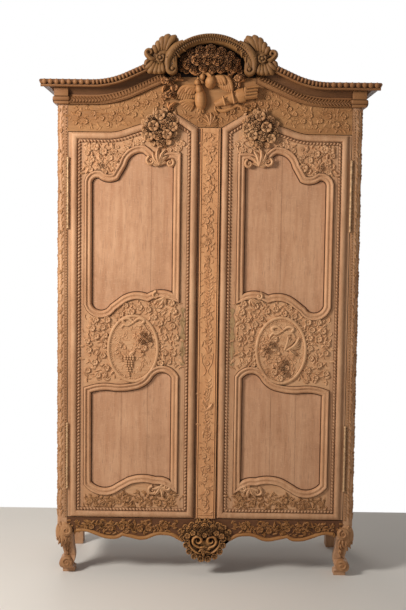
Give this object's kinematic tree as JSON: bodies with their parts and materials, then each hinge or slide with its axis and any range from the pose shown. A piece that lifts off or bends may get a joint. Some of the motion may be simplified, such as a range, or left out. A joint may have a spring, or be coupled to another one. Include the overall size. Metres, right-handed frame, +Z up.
{
  "type": "wardrobe",
  "caption": "Carved oak marriage armoire with panelled doors, a bonnet cornice with an arched crest, and cabriole front feet",
  "frame": {"origin": "on the floor at the middle of the outer box", "axes": "+Z up, front faces -Y, +X to the right seen from the front"},
  "size_m": [1.5002, 0.592, 2.44],
  "materials": {
    "carved_oak": "satin",
    "plain_oak": "matte",
    "old_iron": "satin",
    "tarnished_brass": "satin"
  },
  "bodies": {
    "carcass": {"apron_basket": "carved_oak", "apron_rail": "carved_oak", "back_panels": "plain_oak", "back_post_left": "carved_oak", "back_post_right": "carved_oak", "back_rails_and_muntins": "plain_oak", "bolt_keeper": "old_iron", "carcass_pegs": "carved_oak", "cornice_front_left": "carved_oak", "cornice_front_right": "carved_oak", "cornice_side_left": "carved_oak", "cornice_side_right": "carved_oak", "crest_arch": "carved_oak", "crest_backboard": "plain_oak", "crest_flowers": "carved_oak", "crest_shell_left": "carved_oak", "crest_shell_right": "carved_oak", "dove_left": "carved_oak", "dove_right": "carved_oak", "floor_boards": "plain_oak", "frieze_rail": "carved_oak", "front_post_left": "carved_oak", "front_post_right": "carved_oak", "post_hinge_halves": "old_iron", "quiver": "carved_oak", "roof_boards": "plain_oak", "shelf_cleats": "plain_oak", "shelf_lower": "plain_oak", "shelf_middle": "plain_oak", "shelf_upper": "plain_oak", "side_panels_left": "carved_oak", "side_panels_right": "carved_oak", "side_rails_left": "carved_oak", "side_rails_right": "carved_oak"},
    "left_door": {"left_door_bottom_rail": "carved_oak", "left_door_bouquet": "carved_oak", "left_door_escutcheon": "tarnished_brass", "left_door_hinge_halves": "old_iron", "left_door_hinge_stile": "carved_oak", "left_door_meeting_stile": "carved_oak", "left_door_middle_rail": "carved_oak", "left_door_mouldings": "carved_oak", "left_door_panels": "carved_oak", "left_door_top_rail": "carved_oak", "mullion": "carved_oak", "lock_keeper": "old_iron", "bolt_guides": "old_iron"},
    "right_door": {"right_door_bottom_rail": "carved_oak", "right_door_bouquet": "carved_oak", "right_door_escutcheon": "tarnished_brass", "right_door_hinge_halves": "old_iron", "right_door_hinge_stile": "carved_oak", "right_door_meeting_stile": "carved_oak", "right_door_middle_rail": "carved_oak", "right_door_mouldings": "carved_oak", "right_door_panels": "carved_oak", "right_door_top_rail": "carved_oak", "lock_case": "old_iron"},
    "lock_bolt": {"lock_bolt": "old_iron"},
    "left_bolt": {"left_door_bolt": "old_iron"}
  },
  "joints": [
    {"name": "left_door_hinge", "type": "hinge", "parent": "carcass", "child": "left_door", "pos_m": [-0.6325, -0.21, 1.15], "axis": [0, 0, -1], "range_deg": [0, 110]},
    {"name": "right_door_hinge", "type": "hinge", "parent": "carcass", "child": "right_door", "pos_m": [0.6325, -0.21, 1.15], "axis": [0, 0, 1], "range_deg": [0, 110]},
    {"name": "lock_bolt_slide", "type": "slide", "parent": "right_door", "child": "lock_bolt", "axis": [-1, 0, 0], "range_m": [0, 0.022]},
    {"name": "left_bolt_slide", "type": "slide", "parent": "left_door", "child": "left_bolt", "axis": [0, 0, 1], "range_m": [0, 0.022]}
  ]
}
